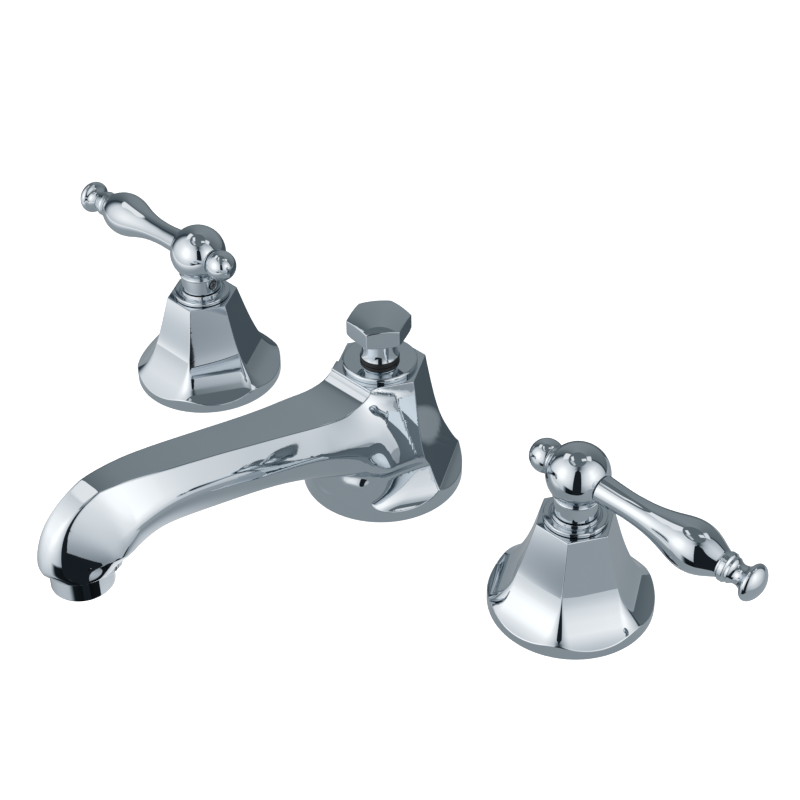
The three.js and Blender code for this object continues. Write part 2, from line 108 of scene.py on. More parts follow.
def grad(f, p, e=0.02):
    g = np.empty_like(p)
    for i in range(3):
        d = np.zeros(3)
        d[i] = e
        g[:, i] = (f(p + d) - f(p - d)) / (2 * e)
    return g


def snap(f, p, rounds=4, most=0.8):
    """Moves points onto the surface f = 0."""
    for _ in range(rounds):
        g = grad(f, p)
        s = f(p) / np.maximum((g * g).sum(1), 0.05)
        d = g * s[:, None]
        n = np.linalg.norm(d, axis=1, keepdims=True)
        p = p - d * np.minimum(1, most / np.maximum(n, 1e-9))
    return p


def net(f, lo, hi, cell):
    """Closed mesh of quads around f < 0, one point in each cell that the surface crosses."""
    lo, hi = np.array(lo, float), np.array(hi, float)
    n = np.ceil((hi - lo) / cell).astype(int) + 1
    ax = [lo[i] + cell * np.arange(n[i]) for i in range(3)]
    gx, gy, gz = np.meshgrid(*ax, indexing="ij")
    p = np.stack([gx, gy, gz], -1).reshape(-1, 3)
    v = np.empty(len(p))
    for i in range(0, len(p), 200000):
        v[i : i + 200000] = f(p[i : i + 200000])
    v = v.reshape(n)
    v[np.abs(v) < 1e-6] = 1e-6
    inside = v < 0
    total = np.zeros(tuple(n - 1) + (3,))
    count = np.zeros(tuple(n - 1))
    quads = []
    ids = -np.ones(tuple(n - 1), int)
    crossings = []
    for a in range(3):
        b, c = (a + 1) % 3, (a + 2) % 3
        s0 = [slice(None)] * 3
        s1 = [slice(None)] * 3
        s0[a], s1[a] = slice(0, -1), slice(1, None)
        v0, v1 = v[tuple(s0)], v[tuple(s1)]
        cut = inside[tuple(s0)] != inside[tuple(s1)]
        idx = np.argwhere(cut)
        t = v0[cut] / (v0[cut] - v1[cut])
        pos = idx.astype(float)
        pos[:, a] += t
        keep = (idx[:, b] > 0) & (idx[:, c] > 0) & (idx[:, b] < n[b] - 1) & (idx[:, c] < n[c] - 1)
        idx, pos = idx[keep], pos[keep]
        flip = ~inside[tuple(s0)][cut][keep]
        cells = []
        for db, dc in ((0, 0), (1, 0), (1, 1), (0, 1)):
            q = idx.copy()
            q[:, b] -= db
            q[:, c] -= dc
            cells.append(q)
            np.add.at(total, tuple(q.T), pos)
            np.add.at(count, tuple(q.T), 1)
        crossings.append((cells, flip))
    used = count > 0
    ids[used] = np.arange(used.sum())
    points = total[used] / count[used][:, None] * cell + lo
    for cells, flip in crossings:
        q = np.stack([ids[tuple(c.T)] for c in cells], 1)
        q[flip] = q[flip][:, ::-1]
        quads.append(q)
    q = np.concatenate(quads)
    return points, q


def triangles_of(points, quads):
    d0 = np.linalg.norm(points[quads[:, 0]] - points[quads[:, 2]], axis=1)
    d1 = np.linalg.norm(points[quads[:, 1]] - points[quads[:, 3]], axis=1)
    a = quads[:, [0, 1, 2, 0, 2, 3]].reshape(-1, 2, 3)
    b = quads[:, [0, 1, 3, 1, 2, 3]].reshape(-1, 2, 3)
    return np.where((d0 <= d1)[:, None, None], a, b).reshape(-1, 3)


def refine(f, p, t, normals, turn, shortest):
    """Splits the edges across which the surface turns, and puts the new points on it."""
    e = np.sort(np.concatenate([t[:, [0, 1]], t[:, [1, 2]], t[:, [2, 0]]]), axis=1)
    u, inv = np.unique(e[:, 0].astype(np.int64) * len(p) + e[:, 1], return_inverse=True)
    a, b = u // len(p), u % len(p)
    length = np.linalg.norm(p[a] - p[b], axis=1)
    dot = (normals[a] * normals[b]).sum(1)
    split = (dot < math.cos(math.radians(turn))) & (length > shortest)
    # long edges of a face that is split are split too, so that faces stay compact
    side = inv.reshape(3, -1).T
    for _ in range(2):
        ls = length[side]
        any_ = split[side].any(1)
        longest = ls >= 0.98 * ls.max(1, keepdims=True)
        need = side[any_[:, None] & longest & (ls > shortest)]
        split[need] = True
    if not split.any():
        return p, t, normals
    mid = (p[a[split]] + p[b[split]]) / 2
    mid = snap(f, mid, 4, 0.3)
    g = grad(f, mid)
    g /= np.linalg.norm(g, axis=1, keepdims=True)
    new = -np.ones(len(u), int)
    new[split] = len(p) + np.arange(split.sum())
    p = np.concatenate([p, mid])
    normals = np.concatenate([normals, g])
    m = new[side]  # new points on edges 01, 12, 20
    k = (m >= 0).sum(1)
    out = [t[k == 0]]
    for r in range(3):
        # one split edge: rotate so that it is edge 01
        sel = (k == 1) & (m[:, r] >= 0)
        v0, v1, v2 = t[sel, r], t[sel, (r + 1) % 3], t[sel, (r + 2) % 3]
        c = m[sel, r]
        out += [np.stack([v0, c, v2], 1), np.stack([c, v1, v2], 1)]
        # two split edges: the whole edge is edge 20
        sel = (k == 2) & (m[:, (r + 2) % 3] < 0)
        v0, v1, v2 = t[sel, r], t[sel, (r + 1) % 3], t[sel, (r + 2) % 3]
        c, d = m[sel, r], m[sel, (r + 1) % 3]
        out += [np.stack([c, v1, d], 1), np.stack([v0, c, d], 1), np.stack([v0, d, v2], 1)]
    s = k == 3
    v0, v1, v2 = t[s].T
    c, d, g3 = m[s].T
    out += [np.stack(x, 1) for x in ((v0, c, g3), (c, v1, d), (g3, d, v2), (c, d, g3))]
    return p, np.concatenate(out), normals


def skin(f, lo, hi, cell, turn=7.0, shortest=0.25, rounds=5):
    """Points, triangles and exact normals of the surface f = 0."""
    p, q = net(f, lo, hi, cell)
    p = snap(f, p, 6, 0.6 * cell)
    t = triangles_of(p, q)
    g = grad(f, p)
    g /= np.linalg.norm(g, axis=1, keepdims=True)
    for _ in range(rounds):
        p, t, g = refine(f, p, t, g, turn, shortest)
    return p, t, g


# ------------------------------------------------------------------- meshes
def put(name, p, faces, normals, body, nodes, material, place=(0, 0, 0)):
    mesh = bpy.data.meshes.new(name)
    p = (np.asarray(p, float) + np.array(place, float)) / 1000
    faces = np.asarray(faces)
    k = faces.shape[1]
    mesh.vertices.add(len(p))
    mesh.vertices.foreach_set("co", p.astype(np.float32).ravel())
    mesh.loops.add(len(faces) * k)
    mesh.loops.foreach_set("vertex_index", faces.astype(np.int32).ravel())
    mesh.polygons.add(len(faces))
    mesh.polygons.foreach_set("loop_start", np.arange(0, len(faces) * k, k, dtype=np.int32))
    mesh.update(calc_edges=True)
    mesh.validate()
    mesh.polygons.foreach_set("use_smooth", np.ones(len(mesh.polygons), bool))
    if normals is not None:
        mesh.normals_split_custom_set_from_vertices(np.asarray(normals, float).tolist())
    o = bpy.data.objects.new(name, mesh)
    bpy.context.scene.collection.objects.link(o)
    mesh.materials.append(material)
    if body:
        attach(o, body)
        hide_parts(*nodes)
    return o


def rounded(corners, closed=False):
    """Points and outward normals along a profile [(r, z, fillet)], walked so that the solid lies on the left."""
    pts = [np.array(c[:2], float) for c in corners]
    fil = [c[2] if len(c) > 2 else 0.15 for c in corners]
    out, nor = [], []
    n = len(pts)
    for i in range(n):
        p = pts[i]
        a, b = pts[i - 1], pts[(i + 1) % n]
        first, last = (not closed and i == 0), (not closed and i == n - 1)
        if first or last:
            d = (b - p) if first else (p - a)
            d /= np.linalg.norm(d)
            out.append(p)
            nor.append(np.array([d[1], -d[0]]))
            continue
        u, v = p - a, b - p
        lu, lv = np.linalg.norm(u), np.linalg.norm(v)
        u, v = u / lu, v / lv
        ang = math.acos(max(-1, min(1, float(u @ v))))
        n0, n1 = np.array([u[1], -u[0]]), np.array([v[1], -v[0]])
        if ang < 1e-3:
            out.append(p)
            nor.append(n0)
            continue
        r = fil[i]
        cut = min(r * math.tan(ang / 2), 0.45 * lu, 0.45 * lv)
        r = cut / math.tan(ang / 2)
        s, e = p - u * cut, p + v * cut
        turn = 1 if u[0] * v[1] - u[1] * v[0] > 0 else -1
        centre = s - turn * n0 * r
        m = max(2, int(math.ceil(math.degrees(ang) / 12)))
        for j in range(m + 1):
            w = ang * j / m * turn
            c0, s0 = math.cos(w), math.sin(w)
            nn = np.array([n0[0] * c0 - n0[1] * s0, n0[0] * s0 + n0[1] * c0])
            out.append(centre + turn * nn * r)
            nor.append(nn)
    return np.array(out), np.array(nor)


def smooth_profile(points, n=160, smooth=0.0, knots=None, chord=None):
    """A smooth curve through [(r, z)], with its outward normals. The solid lies on the left."""
    q = np.array(points, float)
    s = np.concatenate([[0], np.cumsum(np.linalg.norm(np.diff(q, axis=0), axis=1))])
    u, r = spline(s, q[:, 0], smooth, n, knots)
    _, z = spline(s, q[:, 1], smooth, n, knots)
    c = np.stack([r, z], 1)
    d = np.gradient(c, axis=0)
    d /= np.linalg.norm(d, axis=1, keepdims=True)
    return c, np.stack([d[:, 1], -d[:, 0]], 1)


def join(*parts):
    """One profile of several, without the points that two of them share."""
    c, n = parts[0]
    for a, b in parts[1:]:
        if np.linalg.norm(a[0] - c[-1]) < 1e-3:
            n = n.copy()
            m = n[-1] + b[0]
            n[-1] = m / np.linalg.norm(m)
            a, b = a[1:], b[1:]
        c, n = np.concatenate([c, a]), np.concatenate([n, b])
    return c, n


def lathe(profile, segments=96, closed=False):
    """Turns (points, normals) about Z. An open profile starts and ends on the axis."""
    c, nn = profile
    th = np.linspace(0, 2 * math.pi, segments, endpoint=False)
    co, si = np.cos(th), np.sin(th)
    pts, nor, rows = [], [], []
    for (r, z), (nr, nz) in zip(c, nn):
        if r < 1e-6:
            rows.append([len(pts)])
            pts.append((0, 0, z))
            nor.append((0, 0, 1 if nz > 0 else -1))
        else:
            rows.append(list(range(len(pts), len(pts) + segments)))
            pts += list(zip(r * co, r * si, np.full(segments, z)))
            nor += list(zip(nr * co, nr * si, np.full(segments, nz)))
    faces = []
    pairs = list(zip(rows[:-1], rows[1:]))
    if closed:
        pairs.append((rows[-1], rows[0]))
    for a, b in pairs:
        for i in range(segments):
            j = (i + 1) % segments
            if len(a) == 1 and len(b) == 1:
                continue
            if len(a) == 1:
                faces.append((a[0], b[j], b[i], b[i]))
            elif len(b) == 1:
                faces.append((a[i], a[j], b[0], b[0]))
            else:
                faces.append((a[i], a[j], b[j], b[i]))
    return np.array(pts), np.array(faces), np.array(nor)


def tri(faces):
    """Quads, some with a doubled corner, as triangles."""
    f = np.asarray(faces)
    t = np.concatenate([f[:, [0, 1, 2]], f[:, [0, 2, 3]]])
    return t[(t[:, 0] != t[:, 1]) & (t[:, 1] != t[:, 2]) & (t[:, 0] != t[:, 2])]


def turn_to(p, n, matrix):
    m = np.array(matrix)
    return p @ m[:3, :3].T + m[:3, 3], n @ m[:3, :3].T


def axis_to(direction, origin):
    """Matrix that takes +Z to direction and the origin to origin."""
    q = Vector((0, 0, 1)).rotation_difference(Vector(direction))
    return Matrix.Translation(Vector(origin)) @ q.to_matrix().to_4x4()



# ---------------------------------------------------------------- materials
def chrome(name, tint=(0.60, 0.655, 0.70), rough=(0.015, 0.035)):
    """Polished chrome plate: faint smears, pin marks and a slight waviness of the casting under it."""
    m = bpy.data.materials.new(name)
    m.use_nodes = True
    nt = m.node_tree
    b = nt.nodes["Principled BSDF"]
    b.inputs["Metallic"].default_value = 1.0
    tc = nt.nodes.new("ShaderNodeTexCoord")
    big = nt.nodes.new("ShaderNodeTexNoise")
    big.inputs["Scale"].default_value = 38.0
    big.inputs["Detail"].default_value = 3.0
    fine = nt.nodes.new("ShaderNodeTexNoise")
    fine.inputs["Scale"].default_value = 900.0
    fine.inputs["Detail"].default_value = 2.0
    nt.links.new(tc.outputs["Object"], big.inputs["Vector"])
    nt.links.new(tc.outputs["Object"], fine.inputs["Vector"])
    ramp = nt.nodes.new("ShaderNodeMapRange")
    ramp.inputs["From Min"].default_value = 0.3
    ramp.inputs["From Max"].default_value = 0.75
    ramp.inputs["To Min"].default_value = rough[0]
    ramp.inputs["To Max"].default_value = rough[1]
    nt.links.new(big.outputs["Fac"], ramp.inputs["Value"])
    nt.links.new(ramp.outputs["Result"], b.inputs["Roughness"])
    col = nt.nodes.new("ShaderNodeValToRGB")
    col.color_ramp.elements[0].position = 0.25
    col.color_ramp.elements[0].color = (tint[0] * 0.94, tint[1] * 0.95, tint[2] * 0.96, 1)
    col.color_ramp.elements[1].position = 0.8
    col.color_ramp.elements[1].color = (*tint, 1)
    nt.links.new(big.outputs["Fac"], col.inputs["Fac"])
    nt.links.new(col.outputs["Color"], b.inputs["Base Color"])
    bump = nt.nodes.new("ShaderNodeBump")
    bump.inputs["Strength"].default_value = 0.002
    bump.inputs["Distance"].default_value = 0.0002
    nt.links.new(fine.outputs["Fac"], bump.inputs["Height"])
    nt.links.new(bump.outputs["Normal"], b.inputs["Normal"])
    return m


def plain(name, dark, light, rough, metal=0.0, scale=300.0, bump=0.1, distance=0.0002, stretch=None):
    """Machined metal, rubber or moulded plastic: two tones of the same colour in a fine grain."""
    m = bpy.data.materials.new(name)
    m.use_nodes = True
    nt = m.node_tree
    b = nt.nodes["Principled BSDF"]
    b.inputs["Metallic"].default_value = metal
    tc = nt.nodes.new("ShaderNodeTexCoord")
    mp = nt.nodes.new("ShaderNodeMapping")
    if stretch:
        mp.inputs["Scale"].default_value = stretch
    no = nt.nodes.new("ShaderNodeTexNoise")
    no.inputs["Scale"].default_value = scale
    no.inputs["Detail"].default_value = 6.0
    nt.links.new(tc.outputs["Object"], mp.inputs["Vector"])
    nt.links.new(mp.outputs["Vector"], no.inputs["Vector"])
    col = nt.nodes.new("ShaderNodeValToRGB")
    col.color_ramp.elements[0].position = 0.3
    col.color_ramp.elements[0].color = (*dark, 1)
    col.color_ramp.elements[1].position = 0.72
    col.color_ramp.elements[1].color = (*light, 1)
    nt.links.new(no.outputs["Fac"], col.inputs["Fac"])
    nt.links.new(col.outputs["Color"], b.inputs["Base Color"])
    rr = nt.nodes.new("ShaderNodeMapRange")
    rr.inputs["To Min"].default_value = rough[0]
    rr.inputs["To Max"].default_value = rough[1]
    nt.links.new(no.outputs["Fac"], rr.inputs["Value"])
    nt.links.new(rr.outputs["Result"], b.inputs["Roughness"])
    bp = nt.nodes.new("ShaderNodeBump")
    bp.inputs["Strength"].default_value = bump
    bp.inputs["Distance"].default_value = distance
    nt.links.new(no.outputs["Fac"], bp.inputs["Height"])
    nt.links.new(bp.outputs["Normal"], b.inputs["Normal"])
    return m


CHROME = chrome("chrome_plate")
BRASS = plain("machined_brass", (0.50, 0.34, 0.12), (0.66, 0.47, 0.19), (0.22, 0.38), 1.0, 260, 0.08, stretch=(1, 1, 6))
STEEL = plain("bright_steel", (0.46, 0.47, 0.48), (0.62, 0.62, 0.63), (0.22, 0.36), 1.0, 300, 0.08, stretch=(1, 1, 5))
RUBBER = plain("black_rubber", (0.012, 0.012, 0.012), (0.03, 0.03, 0.03), (0.7, 0.9), 0.0, 900, 0.3)
BLACK = plain("black_plastic", (0.004, 0.004, 0.004), (0.010, 0.010, 0.011), (0.45, 0.6), 0.0, 700, 0.1)
WHITE = plain("white_plastic", (0.74, 0.74, 0.71), (0.83, 0.83, 0.80), (0.35, 0.5), 0.0, 500, 0.05)
CERAMIC = plain("lapped_ceramic", (0.82, 0.80, 0.76), (0.90, 0.88, 0.84), (0.12, 0.25), 0.0, 700, 0.03)
BY_SLOT = {"chrome": CHROME, "brass": BRASS, "steel": STEEL, "rubber": RUBBER,
           "black_plastic": BLACK, "white_plastic": WHITE, "ceramic": CERAMIC}
for part in frame["record"]["subparts"]:
    o = frame["nodes"][part["node"]]
    o.data.materials.clear()
    o.data.materials.append(BY_SLOT[part["material_slot"]])


# ------------------------------------------------------- hexagonal bell shape
def horn_tables(horn):
    z, c = np.array(horn).T
    u, zz = spline(c, z, 0.02, 1500)
    a = u[::-1] * math.cos(math.radians(30))
    zz = zz[::-1]
    return zz, a, np.gradient(a, zz)


def horn_faces(tab, x, y, z, azimuths):
    """Distance from hexagon faces that flare downwards, one for each azimuth in degrees."""
    zz, a, da = tab
    av, dv = lookup((zz, a), z), np.interp(z, zz, da)
    s = 1 / np.sqrt(1 + dv * dv)
    return [(x * math.cos(math.radians(k)) + y * math.sin(math.radians(k)) - av) * s for k in azimuths]


ESC_TAB = horn_tables(ESC_HORN)
SPOUT_TAB = horn_tables(SPOUT_HORN)
CAV_Z = np.array([-1, 1.4, 4.4, 8.5, 14, 25, 36.9])
CAV_R = np.array([27.1, 27.1, 23.2, 20.0, 17.6, 14.4, 11.4])


def arris(z, low, high, z0=4.0, z1=16.0):
    return low + (high - low) * step(z0, z1, z)


def esc(p):
    x, y, z = np.abs(p[:, 0]), np.abs(p[:, 1]), p[:, 2]
    r = np.hypot(x, y)
    side, back = horn_faces(ESC_TAB, x, y, z, (30, 90))
    k = arris(z, 3.0, 0.22, 5, 21)
    f = smax(side, back, k)
    # the arris at 0 degrees: the face below it is the mirror image of the one above
    (low,) = horn_faces(ESC_TAB, x, -y, z, (30,))
    f = smax(f, low, k)
    f = smax(f, r - ESC_RIM, 0.35)
    f = smax(f, z - ESC_TOP, 0.3)
    f = smax(f, -z, 0.45)
    cav = np.maximum((r - np.interp(z, CAV_Z, CAV_R)) * 0.8, z - 36.9)
    f = smax(f, -cav, 0.3)
    return smax(f, 8.2 - r, 0.3)


# ---------------------------------------------------------------- spout body
def field(points, lo, hi, h):
    """Signed distance to a line of points in the plane of y and z, negative on its left, as a grid."""
    c = np.array(points, float)
    seg = np.diff(c, axis=0)
    ny, nz = int((hi[0] - lo[0]) / h) + 1, int((hi[1] - lo[1]) / h) + 1
    gy, gz = np.meshgrid(lo[0] + h * np.arange(ny), lo[1] + h * np.arange(nz), indexing="ij")
    q = np.stack([gy.ravel(), gz.ravel()], 1)
    out = np.empty(len(q))
    n = len(c)
    for i in range(0, len(q), 20000):
        s = q[i : i + 20000]
        d = (s[:, None, 0] - c[None, :, 0]) ** 2 + (s[:, None, 1] - c[None, :, 1]) ** 2
        j = d.argmin(1)
        best = np.full(len(s), 1e9)
        sign = np.ones(len(s))
        for k in (j - 1, j):
            k = np.clip(k, 0, n - 2)
            a, b = c[k], seg[k]
            t = ((s - a) * b).sum(1) / (b * b).sum(1)
            first, last = k == 0, k == n - 2
            t = np.where(first, np.minimum(t, 1), np.where(last, np.maximum(t, 0), np.clip(t, 0, 1)))
            w = s - a - t[:, None] * b
            dist = np.hypot(w[:, 0], w[:, 1])
            cross = b[:, 0] * w[:, 1] - b[:, 1] * w[:, 0]
            sg = np.where(cross > 0, -1.0, 1.0)
            nearer = dist < best - 1e-9
            sign = np.where(nearer, sg, sign)
            best = np.where(nearer, dist, best)
        out[i : i + 20000] = sign * best
    return out.reshape(ny, nz), lo, h


def sample(grid, y, z):
    """Cubic value between the grid's points."""
    g, lo, h = grid
    u = np.clip((y - lo[0]) / h, 1, g.shape[0] - 3 - 1e-6)
    v = np.clip((z - lo[1]) / h, 1, g.shape[1] - 3 - 1e-6)
    i, j = u.astype(int), v.astype(int)
    fu, fv = u - i, v - j

    def w(t):
        return (-0.5 * t + t * t - 0.5 * t**3, 1 - 2.5 * t * t + 1.5 * t**3, 0.5 * t + 2 * t * t - 1.5 * t**3, -0.5 * t * t + 0.5 * t**3)

    wu, wv = w(fu), w(fv)
    out = 0
    for a in range(4):
        row = 0
        for b in range(4):
            row = row + wv[b] * g[i + a - 1, j + b - 1]
        out = out + wu[a] * row
    return out


def curve(points, smooth, knots, n=700):
    q = np.array(points, float)
    s = np.concatenate([[0], np.cumsum(np.linalg.norm(np.diff(q, axis=0), axis=1))])
    return np.stack([spline(s, q[:, 0], smooth, n, knots)[1], spline(s, q[:, 1], smooth, n, knots)[1]], 1)


ARM_TOP = curve(
    [(-15.75, 52.5), (-16.15, 51.75), (-17.2, 51.0), (-18.5, 50.5), (-20, 50.1), (-22, 49.65), (-24, 49.4), (-26, 49.25),
     (-28, 49.3), (-30, 49.5), (-33, 50.1), (-37, 50.9), (-40, 51.6), (-46, 53.0), (-52, 54.55), (-58, 56.15), (-64, 57.8),
     (-70, 59.45), (-76, 61.15), (-82, 62.85), (-88, 64.5), (-94, 66.1), (-100, 67.7), (-106, 69.2), (-112, 70.7),
     (-119, 72.2), (-125, 73.15), (-130, 73.6), (-133.8, 73.7)],
    0.25, 56, 760)
NOSE_TOP = curve(
    [(-133.8, 73.7), (-137, 72.75), (-142, 70.9), (-146.5, 68.4), (-150.5, 65.0), (-153.4, 61.2),
     (-155.5, 56.8), (-156.6, 53), (-157.0, 50), (-156.7, 47.2), (-155.8, 44.8), (-154.7, 42.8), (-153.0, 40), (-150.5, 36)],
    0.1, 18, 260)
TOP_LINE = np.concatenate([ARM_TOP, NOSE_TOP[1:]])
SOFT_LINE = curve(TOP_LINE[::20], 0.6, 60, 900)
TOP = [(48.0, SPOUT_TOP), (0.0, SPOUT_TOP), (-15.2, SPOUT_TOP), (-15.45, SPOUT_TOP - 0.05), (-15.6, SPOUT_TOP - 0.25)] + [tuple(v) for v in TOP_LINE]
UNDER = curve(
    [(14, 16), (4, 16.4), (-6, 17.0), (-16, 18.0), (-26, 19.8), (-34, 22.2), (-46, 27), (-59, 32), (-74, 36.8), (-89, 41),
     (-101, 44.2), (-108, 45.8), (-113.5, 46.7), (-118, 46.6), (-121.5, 45.6), (-124.5, 43.9), (-127, 41.8), (-128.6, 39.6), (-129.4, 36), (-129.7, 28)],
    0.2, 40, 700)
LO, HI, H2 = (-172.0, -10.0), (40.0, 86.0), 0.4
SOFT_F = field(TOP[:5] + [tuple(v) for v in SOFT_LINE], LO, HI, H2)
TOP_F = field(TOP, LO, HI, H2)  # walked towards -y, the metal lies on its left
UNDER_F = field(UNDER[::-1], LO, HI, H2)
WT = spline([0, 8, 12, 16, 20, 24, 28, 32, 40, 52, 64, 76, 88, 100, 112, 124, 140, 155, 175],
            [13.4, 11.4, 10.65, 10.2, 10.4, 11.05, 11.4, 11.4, 10.9, 9.95, 9.25, 8.7, 8.2, 7.8, 7.3, 6.0, 4.7, 5.0, 5.4], 0.2, 800, 26)
WM = spline([0, 8, 14, 20, 26, 34, 46, 60, 76, 92, 106, 119, 131, 142, 155, 175],
            [26.5, 25.4, 24.2, 22.8, 21.2, 19.2, 17.0, 15.5, 14.4, 13.8, 13.6, 13.9, 14.4, 14.8, 15.0, 15.0], 0.3, 800, 18)
TAN = spline([0, 20, 40, 64, 90, 112, 130, 150, 175], [0.30, 0.36, 0.50, 0.57, 0.58, 0.58, 0.56, 0.46, 0.45], 0.1, 400, 12)
KA = spline([0, 30, 60, 90, 110, 125, 134, 142, 150, 160, 175], [0.3, 0.35, 0.4, 0.5, 0.6, 0.7, 0.7, 1.0, 2.4, 5.0, 7.0], 0.02, 400, 16)
CHANNEL = np.array([(-2, 35), (-24, 36), (-50, 41.5), (-80, 50), (-108, 57.5), (-124, 60), (-135.5, 58), (-141, 52), (-142, 45)], float)


def spout(p):
    x, y, z = np.abs(p[:, 0]), p[:, 1], p[:, 2]
    r = np.hypot(x, y)
    top = sample(TOP_F, y, z)
    under = sample(UNDER_F, y, z)
    yc, zc = -126.0, 46.0
    w = np.arctan2(np.maximum(yc - y, 0), np.maximum(z - zc, 4.0))
    tau = np.where(y > yc, -y, 126 + 27 * w)
    tau = np.clip(tau, 0, 175)
    dt = -sample(SOFT_F, y, z)
    depth = np.maximum(-under, -20)
    v = depth / np.maximum(depth + np.maximum(dt, 0.2), 1.0)
    wt, wm, tn, ka = lookup(WT, tau), lookup(WM, tau), lookup(TAN, tau), lookup(KA, tau)
    # close to the base the side leans out more under its upper edge
    lean = 3.5 * step(40, 16, tau)
    side = (x - wt - dt * tn - lean * (1 - np.exp(-np.maximum(dt, 0) / 10))) / np.sqrt(1 + tn * tn)
    vm, pw = 0.22 + 0.27 * step(8, 75, tau), 2.5
    below = np.maximum((vm - v) / vm, 0)
    n = (np.maximum(x / wm, 1e-4) ** pw + below**pw) ** (1 / pw)
    u = (n - 1) * np.minimum(wm, 14)
    sect = smax(side, u, 2.0)
    # the outlet turns round towards its lip
    m = 0.95 * step(51.2, 44.8, z) * step(-122.5, -135, y)
    cyl = (np.hypot(x, y - OUT_Y) - 12.5 - np.minimum(0.42 * np.maximum(z - OUT_Z, 0), 2.4)) * 0.93
    sect = sect * (1 - m) + cyl * m
    fr, br, back, front = horn_faces(SPOUT_TAB, x, y, z, (-30, 30, 90, -90))
    k2 = 1.0 + 3.0 * step(53.5, 48, z)
    kc = arris(z, 0.6, 0.25, 5, 18)
    c2 = smin(fr, sect, k2)
    c3 = smin(front, u, 8.0)
    a = smax(c2, br, kc)
    a = smax(a, back, kc)
    a = smax(a, c3, 0.3 + 5.7 * step(50, 30, z))
    # under the arm the base is filled up to a steep wall
    wall = smax(-y - 30.9 + 0.10 * (z - 6), (x - 18.0) * 0.85, 9.0)
    a = smin(a, smax(smax(wall, z - 20, 4.0), y + 5, 2.0), 6.0)
    a = smax(a, smin(r - SPOUT_RIM, u, 1.0), 0.35)
    a = smax(a, top, ka)
    a = smax(a, -z, 0.45)
    # the lip is lower behind, where it hides the aerator ring's top
    a = np.where(y < -112, smax(a, OUT_Z - 0.36 * np.maximum(y - OUT_Y, 0) - z, 0.5), a)
    a = smax(a, -np.maximum(np.hypot(x, y - OUT_Y) - 11.35, z - OUT_Z), 0.3)
    # inside: base chamber, water channel, rod hole and outlet recess
    cr = np.interp(z, [-1, 1.6, 3.2, 7, 41, 44.5], [27.2, 27.2, 24, 12.4, 12.4, 9])
    a = smax(a, -np.maximum((r - cr) * 0.6, z - 44.5), 0.3)
    best = np.full(len(x), 1e9)
    for i in range(len(CHANNEL) - 1):
        c0, d0 = CHANNEL[i], CHANNEL[i + 1] - CHANNEL[i]
        t = np.clip(((y - c0[0]) * d0[0] + (z - c0[1]) * d0[1]) / (d0 @ d0), 0, 1)
        best = np.minimum(best, (y - c0[0] - t * d0[0]) ** 2 + (z - c0[1] - t * d0[1]) ** 2)
    a = smax(a, 6.6 - np.sqrt(x * x + best), 0.3)
    a = smax(a, -np.maximum(r - 6.3, 40 - z), 0.3)
    return smax(a, -np.maximum(np.hypot(x, y - OUT_Y) - 9.7, z - 50.5), 0.3)


def mirror(p, t, n):
    return p * (-1, 1, 1), t[:, ::-1], n * (-1, 1, 1)


SIDES = (("hot_", -1), ("cold_", 1))
p, t, n = skin(spout, (-34, -160, -1.5), (34, 33, 76), 1.5, 9.1, 0.31)
put("spout_casting", p, t, n, "fixed_set", ["spout_body"], CHROME)
p, t, n = skin(esc, (-32.5, -32.5, -1.5), (32.5, 32.5, 42), 1.0)
for pre, s in SIDES:
    put(pre + "bell", p, t, n, "fixed_set", [pre + "escutcheon"], CHROME, (s * X, HY, 0))

# ------------------------------------------------------------------- handles
LEVER = [(5.25, 10.9), (5.1, 13), (4.9, 17), (4.75, 21), (4.9, 26), (5.3, 30.8), (5.9, 34.5), (6.7, 38), (7.7, 41.5), (8.6, 44.9),
         (9.05, 49), (8.5, 53), (7.4, 56), (6.2, 58.4), (5.2, 60.4)]
BEADS = [(5.0, 60.9, 0.3), (5.0, 61.3, 0.3), (5.4, 61.9, 0.5), (5.4, 63.5, 0.5), (4.75, 64.2, 0.3), (4.75, 65.2, 0.3)]
TIP = [(4.4, 65.7), (3.85, 66.8), (3.75, 67.8), (4.0, 69.0), (4.7, 70.2), (5.8, 70.95), (6.6, 71.7), (6.85, 72.6), (6.5, 73.7),
       (5.6, 74.7), (4.2, 75.6), (2.4, 76.3), (0.9, 76.6)]


def lever_profile():
    # from the far end back to the ball, so that the metal lies on the left
    root = rounded([(0, 6.2), (2.2, 6.2, 0.3), (2.2, 10.75, 0.2), (5.25, 10.75, 0.35), (5.25, 10.95)])
    body = smooth_profile(LEVER, 110, 0.002)
    beads = rounded([(5.2, 60.4)] + BEADS + [(4.4, 65.7)])
    tip = smooth_profile(TIP, 60, 0.0005)
    c = [np.array([[0, 76.65]]), np.array([[0.0, 1.0]])]
    return join(root, body, beads, tip, tuple(c))


